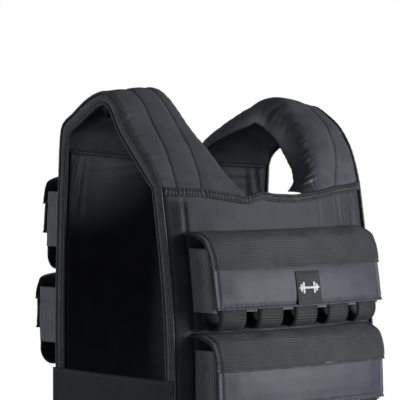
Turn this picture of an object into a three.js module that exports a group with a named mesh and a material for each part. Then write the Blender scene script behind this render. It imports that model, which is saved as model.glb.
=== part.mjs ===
import * as THREE from 'three';

// Weighted vest with padded shoulder straps and rows of empty weight pockets, as it hangs when worn.
// Millimetres, +Z up, the front faces -Y. The origin lies under the crest of the shoulder straps.

// Overall sizes of the panels
const HALF_WIDTH = 176; // half the width of a panel, without its mesh side wall
const PADDING = 18; // thickness of the padding at the middle of a panel and along a strap
const EDGE_PADDING = 15; // thickness of the padding where it meets the mesh side wall
const CREST = 24; // height of the top of the shoulder straps over the origin
const CHEST_DEPTH = 205; // distance between the outer faces of the two panels at their upper corners
const FRONT_SHARE = 107; // how much of it lies in front of the origin
const PANEL_BOTTOM = -430; // height of the lower edge of both panels
const LINING = 1.5; // thickness of the lining sheets
const LINING_INSET = 8; // how far a lining stays inside the edges of its panel
const GAP = 0.3; // clearance between pieces that touch

// Where each panel lies: its face is `edge` from the middle at its sides and `wrap` further out at its centre,
// it hangs outward by `flare` over the height `flareDrop`, and its sides differ in depth by twice `turn`.
// Its upper edge is at `top`, lower by `dip` at the centre, and it leans by `lean` to each side.
const FRONT = {
  side: -1, edge: FRONT_SHARE, wrap: 32, flare: 27, flareDrop: 240, turn: 5.5, top: -107, lean: 0, dip: 12,
};
const BACK_EDGE = CHEST_DEPTH - FRONT_SHARE;
const BACK = { side: 1, edge: BACK_EDGE, wrap: 32, flare: 9, flareDrop: 240, turn: 0, top: -72, lean: 13, dip: 1 };

// Edges
const MESH_WALL = 2; // thickness of the mesh side wall
const MESH_BULGE = 3; // how far the mesh side wall swells outward
const MESH_SEAM = 2.2; // distance between the mesh side wall and the piping cords
const PIPING = 4; // diameter of the piping cords
const PIPING_SIDES = 5;
const HEM_HEIGHT = 11; // height of the gathered neck hems
const HEM_THICKNESS = 3;
const HEM_OVERLAP = 3; // how far a hem rises over the edge of its panel

// Pocket rows
const POCKET_FLATTEN = 8; // how much less a row stands off its panel at the centre than at its ends
const ROW_PITCH = 129; // drop from one row to the next
const FLAP_CLOTH = 2.5; // thickness of the flaps
const POUCH_CLOTH = 2; // thickness of the pouch walls
const WEBBING = 2; // thickness of the webbing
const SLING_WIDTH = 40;
const SLINGS = 5;
const POUCH_FRONT_COLUMNS = 10;
const POUCH_END_COLUMNS = 2;
const SLING_HANG = 124; // drop from the seam of a flap to the bottom of the slings
const SLING_TOP = 78; // drop from the seam of a flap to the upper ends of the slings
const SLING_ROUND = 20; // height of the rounded bottom of a sling
const POUCH_TOP = 20; // drop from the seam of a flap to the open top of its pouch
const FRONT_ROWS = {
  panel: FRONT, seam: -162, depth: 46, halfWidth: 150, seamHalf: 157, flapDrop: 97, pouchDrop: 101, slingPitch: 60,
};
const BACK_ROWS = {
  panel: BACK, seam: -96, depth: 46, halfWidth: 170, seamHalf: 171, flapDrop: 76, pouchDrop: 94, slingPitch: 72,
};
const BACK_SAG = 14; // how much further the lower row of the back stands off its panel

// Label patch
const LABEL_WIDTH = 42;
const LABEL_THICKNESS = 1;
const LABEL_TOP = 52; // drop from the seam of the flap to the upper edge of the label
const LABEL_BOTTOM = 95; // drop from the seam of the flap to the lower edge of the label

// Side straps, below the pockets of the back
const SIDE_STRAP_WIDTH = 50;
const SIDE_STRAP_HEIGHT = -375; // height of the middle of the side straps
const SIDE_STRAP_LAP = 26; // length sewn over each panel's edge
const SIDE_STRAP_BOW = 4; // how far a side strap bows outward

// Sections of a shoulder strap from its front foot over the crest to its back foot. Reach is a share of the
// depth of the panel that the foot stands on, negative to the front. Rise is a share of the height from that
// panel's edge to the crest. Neck is the neck edge's distance from the centre as a share of HALF_WIDTH. Tilt is
// the angle in degrees that the strap leans at, padding and crown are shares of PADDING.
const STRAP_COLUMNS = ['armReach', 'armRise', 'neck', 'neckReach', 'neckRise', 'tilt', 'padding', 'crown'];
const RIGHT_STRAP = [
  [-1.0, 0.0, 0.28, -1.0, 0.0, 90, 0.83, 0],
  [-0.84, 0.2, 0.34, -0.84, 0.16, 62, 1.0, 0.1],
  [-0.6, 0.42, 0.39, -0.66, 0.37, 48, 1.0, 0.2],
  [-0.37, 0.63, 0.43, -0.47, 0.56, 46, 1.0, 0.2],
  [-0.19, 0.86, 0.46, -0.27, 0.78, 36, 1.0, 0.2],
  [-0.01, 0.94, 0.5, -0.06, 0.97, 6, 0.85, 0.1],
  [0.22, 0.87, 0.51, 0.16, 0.95, -20, 0.85, 0.1],
  [0.46, 0.75, 0.5, 0.34, 0.86, -32, 1.0, 0.2],
  [0.7, 0.57, 0.44, 0.56, 0.73, -42, 1.0, 0.2],
  [0.94, 0.37, 0.34, 0.84, 0.5, -62, 1.0, 0.1],
  [1.0, 0.0, 0.24, 1.0, 0.0, -90, 0.83, 0],
];
const LEFT_STRAP = [
  [-1.0, 0.0, 0.28, -1.0, 0.0, 90, 0.83, 0],
  [-0.92, 0.2, 0.34, -0.88, 0.16, 66, 1.0, 0.2],
  [-0.8, 0.4, 0.39, -0.74, 0.36, 52, 1.1, 0.3],
  [-0.61, 0.58, 0.43, -0.55, 0.53, 40, 1.15, 0.4],
  [-0.38, 0.7, 0.46, -0.34, 0.7, 28, 1.15, 0.4],
  [-0.12, 0.79, 0.5, -0.1, 0.84, 10, 1.1, 0.4],
  [0.16, 0.72, 0.51, 0.14, 0.83, -14, 1.0, 0.4],
  [0.42, 0.52, 0.5, 0.33, 0.76, -28, 1.0, 0.4],
  [0.7, 0.38, 0.46, 0.58, 0.62, -40, 1.0, 0.3],
  [0.93, 0.21, 0.38, 0.86, 0.36, -62, 1.0, 0.2],
  [1.0, 0.0, 0.3, 1.0, 0.0, -90, 0.83, 0],
];

// Profiles of a flap from its seam to its lower edge: out is a share of the pocket depth, down of the flap's
// drop, and where tucked is 1 the cloth lies against the inner side of the ribbed flap
const PROFILE_COLUMNS = ['out', 'down', 'tucked'];
const FLAP_PROFILE = [
  [0.01, 0.0, 0],
  [0.32, 0.0, 0],
  [0.74, 0.08, 0],
  [0.87, 0.2, 0],
  [0.95, 0.34, 0],
  [1.0, 0.48, 0],
];
const BAND_PROFILE = [
  [0.975, 0.42, 1],
  [0.985, 0.49, 1],
  [0.93, 0.64, 0],
  [0.95, 0.84, 0],
  [0.99, 1.0, 0],
];

// Colours and finishes: sRGB colour, roughness
const NYLON = [0x494a4f, 0.62];
const SATIN_NYLON = [0x4d4e54, 0.5];
const RIBBED_CLOTH = [0x46474a, 0.85];
const LINING_CLOTH = [0x1c1d20, 0.35];
const MESH_CLOTH = [0x2b2c2f, 0.9];
const WEBBING_CLOTH = [0x47484d, 0.8];
const LABEL_CLOTH = [0x77787c, 0.7];

const vest = new THREE.Group();

function rows(table, columns) {
  return table.map((row) => Object.fromEntries(columns.map((name, index) => [name, row[index]])));
}

const FLAP = rows(FLAP_PROFILE, PROFILE_COLUMNS);
const BAND = rows(BAND_PROFILE, PROFILE_COLUMNS);

function mix(a, b, share) {
  return a + (b - a) * share;
}

// A point on the smooth curve through a list of points, share 0 to 1 along it
function along(points, share) {
  const place = Math.min(share * (points.length - 1), points.length - 1 - 1e-9);
  const index = Math.floor(place);
  const t = place - index;
  const before = points[Math.max(index - 1, 0)];
  const from = points[index];
  const to = points[index + 1];
  const after = points[Math.min(index + 2, points.length - 1)];
  return from.map((value, k) => {
    const leave = (to[k] - before[k]) / 2;
    const arrive = (after[k] - value) / 2;
    const rise = to[k] - value;
    return value + t * (leave + t * (3 * rise - 2 * leave - arrive + t * (leave + arrive - 2 * rise)));
  });
}

// Closed solids

function solidFrom(points, triangles) {
  let volume = 0;
  const a = new THREE.Vector3();
  const b = new THREE.Vector3();
  const c = new THREE.Vector3();
  for (const [i, j, k] of triangles) {
    volume += a.fromArray(points[i]).dot(b.fromArray(points[j]).cross(c.fromArray(points[k])));
  }
  const outward = volume > 0 ? triangles : triangles.map(([i, j, k]) => [i, k, j]);
  const geometry = new THREE.BufferGeometry();
  geometry.setAttribute('position', new THREE.Float32BufferAttribute(points.flat(), 3));
  geometry.setIndex(outward.flat());
  geometry.computeVertexNormals();
  return geometry;
}

// A solid between two surfaces, each a function of shares across and along
function slab(columns, steps, outer, inner) {
  const points = [];
  const triangles = [];
  for (const surface of [outer, inner]) {
    for (let step = 0; step <= steps; step++) {
      for (let column = 0; column <= columns; column++) {
        points.push(surface(column / columns, step / steps));
      }
    }
  }
  const width = columns + 1;
  const layer = width * (steps + 1);
  const at = (column, step) => step * width + column;
  const quad = (i, j, k, l) => triangles.push([i, j, k], [i, k, l]);
  const wall = (i, j) => quad(j, i, i + layer, j + layer);
  for (let step = 0; step < steps; step++) {
    for (let column = 0; column < columns; column++) {
      const corners = [at(column, step), at(column + 1, step), at(column + 1, step + 1), at(column, step + 1)];
      quad(...corners);
      quad(...corners.reverse().map((corner) => corner + layer));
    }
    wall(at(columns, step), at(columns, step + 1));
    wall(at(0, step + 1), at(0, step));
  }
  for (let column = 0; column < columns; column++) {
    wall(at(column, 0), at(column + 1, 0));
    wall(at(column + 1, steps), at(column, steps));
  }
  return solidFrom(points, triangles);
}

// A solid through rings of points, with flat ends
function loft(rings) {
  const sides = rings[0].length;
  const triangles = [];
  for (let ring = 0; ring < rings.length - 1; ring++) {
    for (let side = 0; side < sides; side++) {
      const i = ring * sides + side;
      const j = ring * sides + ((side + 1) % sides);
      triangles.push([i, j, j + sides], [i, j + sides, i + sides]);
    }
  }
  const last = (rings.length - 1) * sides;
  for (let side = 1; side < sides - 1; side++) {
    triangles.push([0, side + 1, side], [last, last + side, last + side + 1]);
  }
  return solidFrom(rings.flat(), triangles);
}

function add(name, geometry, [color, roughness]) {
  const mesh = new THREE.Mesh(geometry, new THREE.MeshStandardMaterial({ color, roughness, metalness: 0 }));
  mesh.name = name;
  vest.add(mesh);
}

// Panels

function topOf(panel, x) {
  const across = x / HALF_WIDTH;
  return panel.top - panel.lean * across - panel.dip * (1 - across * across);
}

// Depth of a panel's outer face from the middle of the body
function faceOf(panel, x, z) {
  const across = x / HALF_WIDTH;
  const fall = Math.min(Math.max((panel.top + panel.lean - z) / panel.flareDrop, 0), 1);
  const flare = panel.flare * Math.sin((fall * Math.PI) / 2);
  return panel.edge + panel.wrap * (1 - across * across) + flare - panel.turn * across;
}

function on(panel, x, z, out) {
  return [x, panel.side * (faceOf(panel, x, z) + out), z];
}

function paddingAt(x) {
  return mix(PADDING, EDGE_PADDING, Math.pow(Math.abs(x) / HALF_WIDTH, 6));
}

function addPanel(name, panel) {
  const sheet = (columns, steps, inset, outer, inner) => {
    const half = HALF_WIDTH - inset;
    const place = (u, v, out) => {
      const x = mix(-half, half, u);
      return on(panel, x, mix(topOf(panel, x) - inset, PANEL_BOTTOM + inset, v), out(x));
    };
    return slab(columns, steps, (u, v) => place(u, v, outer), (u, v) => place(u, v, inner));
  };
  const bodySide = (x) => -paddingAt(x);
  add(`${name}_panel`, sheet(16, 12, 0, () => 0, bodySide), NYLON);
  const under = (x) => bodySide(x) - 3 * GAP;
  add(`${name}_lining`, sheet(8, 6, LINING_INSET, under, (x) => under(x) - LINING), LINING_CLOTH);
}

function addHem(name, panel) {
  const place = (u, v, out) => {
    const x = mix(-HALF_WIDTH, HALF_WIDTH, u);
    return on(panel, x, topOf(panel, x) + HEM_OVERLAP - v * HEM_HEIGHT, out);
  };
  const outer = (u, v) => place(u, v, GAP + HEM_THICKNESS);
  add(`${name}_neck_hem`, slab(20, 1, outer, (u, v) => place(u, v, GAP)), NYLON);
}

// Shoulder straps

// Numbers of one section: both edges, how the middle stands over the line between them, and the padding
function strapSection(row, side) {
  const panel = row.armReach < 0 ? FRONT : BACK;
  const armX = side * HALF_WIDTH;
  const neckX = side * HALF_WIDTH * row.neck;
  const armTop = topOf(panel, armX) + GAP;
  const neckTop = topOf(panel, neckX) + GAP;
  const armY = Math.abs(row.armReach) * faceOf(panel, armX, armTop) * panel.side;
  const neckY = Math.abs(row.neckReach) * faceOf(panel, neckX, neckTop) * panel.side;
  const tilt = THREE.MathUtils.degToRad(row.tilt);
  const foot = Math.abs(row.armReach) === 1 ? Math.pow((armX - neckX) / HALF_WIDTH, 2) / 4 : 0;
  const crown = row.crown * PADDING;
  return [
    armX, armY, mix(armTop, CREST, row.armRise),
    neckX, neckY, mix(neckTop, CREST, row.neckRise),
    foot * panel.wrap * panel.side - crown * Math.sin(tilt),
    crown * Math.cos(tilt) - foot * panel.dip,
    row.padding * PADDING * Math.sin(tilt),
    -row.padding * PADDING * Math.cos(tilt),
  ];
}

// The strap's surface: across 0 at the neck to 1 at the arm, along 0 at the front foot to 1 at the back foot,
// and under 0 on top to 1 on the body side. The neck edge is rounded.
function strapSurface(table, side) {
  const sections = rows(table, STRAP_COLUMNS).map((row) => strapSection(row, side));
  return (across, share, under) => {
    const [ax, ay, az, nx, ny, nz, bulgeY, bulgeZ, padY, padZ] = along(sections, share);
    const middle = 4 * across * (1 - across);
    const round = 0.3 * Math.pow(Math.max(0, 1 - across / 0.3), 2);
    const depth = mix(round, 1 - round, under);
    return [
      mix(nx, ax, across),
      mix(ny, ay, across) + bulgeY * middle + padY * depth,
      mix(nz, az, across) + bulgeZ * middle + padZ * depth,
    ];
  };
}

// The side wall of mesh and its pipings, from the lower corner of the front over the strap to the back

function edgePath(surface, x) {
  const steps = 9;
  const pairs = [];
  const panelPair = (panel, share) => {
    const z = mix(PANEL_BOTTOM, topOf(panel, x), share);
    return [on(panel, x, z, 0), on(panel, x, z, -EDGE_PADDING)];
  };
  for (let step = 0; step < steps; step++) {
    pairs.push(panelPair(FRONT, step / steps));
  }
  const strapSteps = 22;
  for (let step = 0; step <= strapSteps; step++) {
    const share = step / strapSteps;
    pairs.push([surface(1, share, 0), surface(1, share, 1)]);
  }
  for (let step = 1; step <= steps; step++) {
    pairs.push(panelPair(BACK, 1 - step / steps));
  }
  return pairs;
}

// Slope of a path in the plane of the arm, at one of its points
function slopeAt(path, index) {
  const before = path[Math.max(index - 1, 0)];
  const after = path[Math.min(index + 1, path.length - 1)];
  return Math.atan2(after[2] - before[2], after[1] - before[1]);
}

function pipingRings(path, x) {
  const centre = x + Math.sign(x) * (GAP + PIPING / 2);
  return path.map((point, index) => {
    const slope = slopeAt(path, index);
    const ring = [];
    for (let side = 0; side < PIPING_SIDES; side++) {
      const angle = (side / PIPING_SIDES) * 2 * Math.PI;
      const lift = (Math.sin(angle) * PIPING) / 2;
      ring.push([
        centre + (Math.cos(angle) * PIPING) / 2,
        point[1] - lift * Math.sin(slope),
        point[2] + lift * Math.cos(slope),
      ]);
    }
    return ring;
  });
}

function wallRings(pairs, x) {
  const outward = Math.sign(x);
  const edges = [0, 1].map((edge) => pairs.map((pair) => pair[edge]));
  return pairs.map(([top, under], index) => {
    const length = Math.hypot(top[1] - under[1], top[2] - under[2]);
    const lean = Math.atan2(under[2] - top[2], under[1] - top[1]);
    const clear = edges.map((path) => {
      const square = Math.max(Math.abs(Math.sin(lean - slopeAt(path, index))), 0.6);
      return (PIPING / 2 + MESH_SEAM) / square / length;
    });
    const at = (share, away) => {
      const held = mix(clear[0], 1 - clear[1], share);
      return [x + outward * (GAP + away), mix(top[1], under[1], held), mix(top[2], under[2], held)];
    };
    return [at(0, 0), at(0, MESH_WALL), at(0.5, MESH_WALL + MESH_BULGE), at(1, MESH_WALL), at(1, 0)];
  });
}

function addStrap(name, table, side) {
  const surface = strapSurface(table, side);
  const strap = slab(8, 20, (u, v) => surface(u, v, 0), (u, v) => surface(u, v, 1));
  add(`${name}_shoulder_strap`, strap, SATIN_NYLON);
  const x = side * HALF_WIDTH;
  const pairs = edgePath(surface, x);
  add(`${name}_side_mesh`, loft(wallRings(pairs, x)), MESH_CLOTH);
  add(`${name}_outer_piping`, loft(pipingRings(pairs.map((pair) => pair[0]), x)), NYLON);
  add(`${name}_inner_piping`, loft(pipingRings(pairs.map((pair) => pair[1]), x)), NYLON);
}

// Pocket rows

function rowDepth(row, x) {
  const across = x / row.halfWidth;
  return row.depth - POCKET_FLATTEN * Math.max(0, 1 - across * across);
}

// How far a point of a profile stands off the panel
function profileOut(row, point, x) {
  return point.out * rowDepth(row, x) - point.tucked * (FLAP_CLOTH + 2 * GAP);
}

// A cloth that follows a profile of out and down and is `thickness` thick toward the body
function profileCloth(row, seam, profile, halfAt, thickness, columns) {
  const steps = profile.length - 1;
  const place = (u, v, under) => {
    const index = Math.round(v * steps);
    const here = profile[index];
    const before = profile[Math.max(index - 1, 0)];
    const after = profile[Math.min(index + 1, steps)];
    const half = halfAt(here);
    const x = mix(-half, half, u);
    const reach = profileOut(row, after, x) - profileOut(row, before, x);
    const slope = Math.atan2(-(after.down - before.down) * row.flapDrop, reach);
    const out = profileOut(row, here, x) + under * thickness * Math.sin(slope);
    const z = seam - here.down * row.flapDrop - under * thickness * Math.cos(slope);
    return on(row.panel, x, z, out);
  };
  return slab(columns, steps, (u, v) => place(u, v, 0), (u, v) => place(u, v, 1));
}

// How far the outer face of a pouch stands off the panel: under the flap, with webbing between
function pouchOut(row, x) {
  return profileOut(row, BAND[0], x) - FLAP_CLOTH - WEBBING - 3 * GAP;
}

function addPouch(name, row, seam) {
  const columns = POUCH_END_COLUMNS + POUCH_FRONT_COLUMNS + POUCH_END_COLUMNS;
  const at = (u, v, under) => {
    const column = Math.round(u * columns);
    const z = seam - mix(POUCH_TOP, row.pouchDrop, v);
    const place = (column - POUCH_END_COLUMNS) / POUCH_FRONT_COLUMNS;
    const past = Math.max(-place, place - 1, 0);
    const end = (past * POUCH_FRONT_COLUMNS) / POUCH_END_COLUMNS;
    const centre = mix(-1, 1, Math.min(Math.max(place, 0), 1));
    const x = centre * (row.halfWidth - under * POUCH_CLOTH);
    const front = pouchOut(row, x) - under * POUCH_CLOTH;
    return on(row.panel, x, z, mix(front, GAP, end));
  };
  add(`${name}_pouch`, slab(columns, 3, (u, v) => at(u, v, 0), (u, v) => at(u, v, 1)), RIBBED_CLOTH);
}

function addSling(name, row, seam, centre) {
  const steps = 12;
  const legs = 2;
  const place = (u, v, under) => {
    const x = centre + mix(-SLING_WIDTH, SLING_WIDTH, u) / 2;
    const step = Math.round(v * steps);
    const inset = under * WEBBING;
    const front = pouchOut(row, x) + GAP + WEBBING - inset;
    const back = 3 * GAP + inset;
    const roundTop = seam - SLING_HANG + SLING_ROUND;
    if (step < legs || step > steps - legs) {
      const upper = step < legs ? 1 - step / legs : (step - steps + legs) / legs;
      return on(row.panel, x, mix(roundTop, seam - SLING_TOP, upper), step < legs ? front : back);
    }
    const angle = ((step - legs) / (steps - 2 * legs)) * Math.PI;
    const out = (front + back) / 2 + ((front - back) / 2) * Math.cos(angle);
    return on(row.panel, x, roundTop - (SLING_ROUND - inset) * Math.sin(angle), out);
  };
  add(name, slab(1, steps, (u, v) => place(u, v, 0), (u, v) => place(u, v, 1)), WEBBING_CLOTH);
}

function addRow(name, row, seam) {
  const flapHalf = (point) => mix(row.seamHalf, row.halfWidth, Math.min(point.out, 1));
  const bandHalf = () => row.halfWidth - FLAP_CLOTH;
  add(`${name}_flap`, profileCloth(row, seam, FLAP, flapHalf, FLAP_CLOTH, 10), RIBBED_CLOTH);
  add(`${name}_flap_band`, profileCloth(row, seam, BAND, bandHalf, FLAP_CLOTH, 10), NYLON);
  addPouch(name, row, seam);
  for (let index = 0; index < SLINGS; index++) {
    addSling(`${name}_sling_${index + 1}`, row, seam, (index - (SLINGS - 1) / 2) * row.slingPitch);
  }
}

// Label patch on the band of the upper front flap

function addLabel(row, seam) {
  const place = (u, v, away) => {
    const x = mix(-LABEL_WIDTH, LABEL_WIDTH, u) / 2;
    const down = mix(LABEL_TOP, LABEL_BOTTOM, v) / row.flapDrop;
    const next = BAND.findIndex((point, index) => index > 0 && point.down >= down);
    const [from, to] = [BAND[next - 1], BAND[next]];
    const share = (down - from.down) / (to.down - from.down);
    const out = mix(profileOut(row, from, x), profileOut(row, to, x), share);
    return on(row.panel, x, seam - down * row.flapDrop, out + away);
  };
  const outer = (u, v) => place(u, v, 2 * GAP + LABEL_THICKNESS);
  add('label_patch', slab(4, 4, outer, (u, v) => place(u, v, 2 * GAP)), LABEL_CLOTH);
}

// Side straps

function addSideStrap(name, side) {
  const x = side * (HALF_WIDTH + MESH_WALL + MESH_BULGE + 2 * GAP);
  const front = -faceOf(FRONT, side * HALF_WIDTH, SIDE_STRAP_HEIGHT) + EDGE_PADDING;
  const back = faceOf(BACK, side * HALF_WIDTH, SIDE_STRAP_HEIGHT) - EDGE_PADDING;
  const place = (u, v, away) => {
    const y = mix(front - SIDE_STRAP_LAP + PADDING / 2, back + SIDE_STRAP_LAP - PADDING / 2, v);
    const free = Math.min(Math.max((y - front) / (back - front), 0), 1);
    const bow = SIDE_STRAP_BOW * 4 * free * (1 - free);
    return [x + side * (bow + away), y, SIDE_STRAP_HEIGHT + mix(-SIDE_STRAP_WIDTH, SIDE_STRAP_WIDTH, u) / 2];
  };
  const strap = slab(1, 12, (u, v) => place(u, v, WEBBING), (u, v) => place(u, v, 0));
  add(`${name}_side_strap`, strap, WEBBING_CLOTH);
}

addPanel('front', FRONT);
addPanel('back', BACK);
addHem('front', FRONT);
addHem('back', BACK);
addStrap('right', RIGHT_STRAP, -1);
addStrap('left', LEFT_STRAP, 1);
addRow('front_upper', FRONT_ROWS, FRONT_ROWS.seam);
addRow('front_lower', FRONT_ROWS, FRONT_ROWS.seam - ROW_PITCH);
addRow('back_upper', BACK_ROWS, BACK_ROWS.seam);
addRow('back_lower', { ...BACK_ROWS, depth: BACK_ROWS.depth + BACK_SAG }, BACK_ROWS.seam - ROW_PITCH);
addLabel(FRONT_ROWS, FRONT_ROWS.seam);
addSideStrap('right', -1);
addSideStrap('left', 1);

export default vest;
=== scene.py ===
"""Weighted vest with padded shoulder straps and rows of empty weight pockets, dressed for its render."""

import logging
import math
from dataclasses import dataclass
from enum import Enum
from typing import Sequence

import bpy
import numpy as np
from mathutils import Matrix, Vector

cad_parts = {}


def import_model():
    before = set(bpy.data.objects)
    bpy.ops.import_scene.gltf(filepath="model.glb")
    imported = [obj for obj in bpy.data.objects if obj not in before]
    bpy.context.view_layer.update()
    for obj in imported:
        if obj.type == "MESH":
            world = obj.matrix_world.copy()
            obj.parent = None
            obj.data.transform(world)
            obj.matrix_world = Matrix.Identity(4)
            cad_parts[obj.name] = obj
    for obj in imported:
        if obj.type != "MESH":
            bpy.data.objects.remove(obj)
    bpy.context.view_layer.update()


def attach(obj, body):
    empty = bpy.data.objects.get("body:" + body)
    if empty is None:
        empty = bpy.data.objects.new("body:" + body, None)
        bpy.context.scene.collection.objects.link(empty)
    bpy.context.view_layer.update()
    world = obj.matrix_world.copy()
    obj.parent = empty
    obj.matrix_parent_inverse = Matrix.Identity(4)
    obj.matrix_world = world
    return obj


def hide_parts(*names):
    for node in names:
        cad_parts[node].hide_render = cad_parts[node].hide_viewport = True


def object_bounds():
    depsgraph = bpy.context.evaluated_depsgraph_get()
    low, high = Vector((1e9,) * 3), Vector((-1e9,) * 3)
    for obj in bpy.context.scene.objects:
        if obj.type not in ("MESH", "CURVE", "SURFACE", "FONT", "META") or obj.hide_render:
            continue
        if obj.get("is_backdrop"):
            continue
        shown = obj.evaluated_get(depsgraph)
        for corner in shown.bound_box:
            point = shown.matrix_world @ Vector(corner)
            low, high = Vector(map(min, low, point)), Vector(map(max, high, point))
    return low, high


LOG = logging.getLogger("vest")
MM = 0.001
BODY = "root"
Array = np.ndarray
Object = bpy.types.Object
Tree = bpy.types.NodeTree
Socket = bpy.types.NodeSocket

# Sizes and cloths that several pieces share, in millimetres
HALF_WIDTH = 176.0
GAP = 0.3
PADDING = 18.0
EDGE_PADDING = 15.0
CREST = 24.0
PANEL_BOTTOM = -430.0
FLAP_CLOTH = 2.5
POUCH_CLOTH = 2.0
WEBBING = 2.0

# Faces across and along each kind of sheet, and faces round a cord
FACES = {
    "panel": (136, 104), "lining": (96, 88), "hem": (440, 14), "strap": (100, 176), "flap": (176, 30),
    "band": (190, 44), "sling": (6, 190), "label": (40, 40), "motif": (10, 10), "side_strap": (10, 320),
}
CORD_SIDES = 10

# Cloth tones change over this many millimetres
MOTTLE = 22.0
# Radians that Blender's wave texture turns by for each unit of its scale
WAVE_RATE = 20.0


def linear(shade: str) -> tuple[float, float, float, float]:
    """Turns an sRGB hex colour to linear.

    Args:
        shade: Six hex digits after a hash sign.

    Returns:
        Red, green, blue and alpha, with alpha 1.
    """
    channels = [int(shade[i:i + 2], 16) / 255 for i in (1, 3, 5)]
    flat = [c / 12.92 if c <= 0.04045 else ((c + 0.055) / 1.055) ** 2.4 for c in channels]
    return flat[0], flat[1], flat[2], 1.0


def mix(a: Array | float, b: Array | float, share: Array | float) -> Array | float:
    """Goes from a to b by a share from 0 to 1."""
    return a + (b - a) * share


def rise(x: Array | float, low: float, high: float) -> Array:
    """Goes smoothly from 0 at low to 1 at high."""
    t = np.clip((np.asarray(x, float) - low) / (high - low), 0, 1)
    return t * t * (3 - 2 * t)


def ridge(x: Array | float, centre: Array | float, width: float) -> Array:
    """A bell of height 1 round centre, with the given half width."""
    return np.exp(-(((np.asarray(x, float) - centre) / width) ** 2))


def dome(share: Array, power: int) -> Array:
    """Goes from 0 at either end to 1 in the middle, the more squarely the higher the power."""
    return np.sqrt(np.clip(1 - (2 * share - 1) ** power, 0, 1))


def quarter_turn(share: Array) -> Array:
    """Goes from 0 to 1 as a quarter of a circle does: slowly first."""
    return 1 - np.sqrt(np.clip(1 - share ** 2, 0, 1))


def grid(kind: str) -> tuple[Array, Array]:
    """Shares across and along a kind of sheet, for every corner of its faces."""
    columns, steps = FACES[kind]
    rows, places = np.linspace(0, 1, steps + 1), np.linspace(0, 1, columns + 1)
    along, across = np.meshgrid(rows, places, indexing="ij")
    return across, along


def run_along(points: Array, axis: int = 0) -> Array:
    """Lengths run from the first point to each point along an axis."""
    first = np.take(points, [0], axis)
    return np.linalg.norm(np.diff(points, axis=axis, prepend=first), axis=-1).cumsum(axis)


def along_curve(points: Array, shares: Array) -> Array:
    """Follows the smooth curve through rows of numbers.

    Args:
        points: One row of numbers for each point of the curve.
        shares: Places along it, from 0 to 1.

    Returns:
        One row of numbers for each share.
    """
    last = len(points) - 1
    place = np.clip(shares * last, 0, last - 1e-9)
    index = np.floor(place).astype(int)
    t = (place - index)[:, None]
    before, here = points[np.maximum(index - 1, 0)], points[index]
    there, after = points[index + 1], points[np.minimum(index + 2, last)]
    leave, arrive, step = (there - before) / 2, (after - here) / 2, there - here
    return here + t * (leave + t * (3 * step - 2 * leave - arrive + t * (leave + arrive - 2 * step)))


class Ripples:
    """Smooth waves that fold a cloth: a seeded sum of sines, about 1 high at most."""

    WAVES = 10

    def __init__(self, seed: int, length: float, stretch: float = 1.0) -> None:
        """Draws the waves.

        Args:
            seed: Seed of the draws.
            length: Usual distance between two crests, in the units of the coordinates.
            stretch: How many times longer the waves are along the second coordinate.
        """
        draw = np.random.default_rng(seed)
        angle = draw.uniform(0, math.pi, self.WAVES)
        number = 2 * math.pi / (length * draw.uniform(0.6, 1.7, self.WAVES))
        self.first = np.cos(angle) * number
        self.second = np.sin(angle) * number / stretch
        self.phase = draw.uniform(0, 2 * math.pi, self.WAVES)

    def __call__(self, first: Array, second: Array) -> Array:
        """Height of the waves at each pair of coordinates."""
        total = np.zeros(np.broadcast(first, second).shape)
        for a, b, phase in zip(self.first, self.second, self.phase):
            total += np.sin(a * first + b * second + phase)
        return total / math.sqrt(self.WAVES) / 1.6


class Gathers:
    """Close folds side by side, as where a cloth is drawn up on a thread."""

    def __init__(self, seed: int, pitch: float) -> None:
        """Draws how uneven the folds are.

        Args:
            seed: Seed of the draws.
            pitch: Mean distance between two folds.
        """
        self.pitch = pitch
        self.uneven = Ripples(seed, pitch * 5)
        self.depth = Ripples(seed + 1, pitch * 3)

    def __call__(self, place: Array, side: Array | float = 0.0) -> Array:
        """Height of the folds, from -1 to 1, at a place along the thread and a place beside it."""
        side = np.asarray(side, float)
        shifted = place + self.pitch * 0.7 * self.uneven(place, side * 0.6)
        wave = np.sin(2 * math.pi * shifted / self.pitch)
        return wave * (0.65 + 0.35 * self.depth(place, side * 0.4))


class Pattern(Enum):
    """How a cloth's surface is made."""

    PLAIN_WEAVE = "plain weave"
    RIBS_ACROSS = "ribs across the cloth"
    RIBS_ALONG = "ribs along the cloth"
    SPACER_MESH = "holes in rows"
    SMOOTH = "too fine to show"


def add_node(
    tree: Tree,
    kind: str,
    values: dict[str, object] | None = None,
    links: dict[str, Socket] | None = None,
    **settings: object,
) -> bpy.types.Node:
    """Adds a shader node.

    Args:
        tree: The material's node tree.
        kind: The node's type name.
        values: Values of its inputs.
        links: Sockets that feed its inputs.
        settings: The node's own settings.

    Returns:
        The node.
    """
    node = tree.nodes.new(kind)
    for name, value in settings.items():
        setattr(node, name, value)
    for name, value in (values or {}).items():
        node.inputs[name].default_value = value
    for name, socket in (links or {}).items():
        tree.links.new(socket, node.inputs[name])
    return node


def add_object(name: str, data: bpy.types.ID) -> Object:
    """Adds an object with the given data to the scene."""
    added = bpy.data.objects.new(name, data)
    bpy.context.scene.collection.objects.link(added)
    return added


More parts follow.
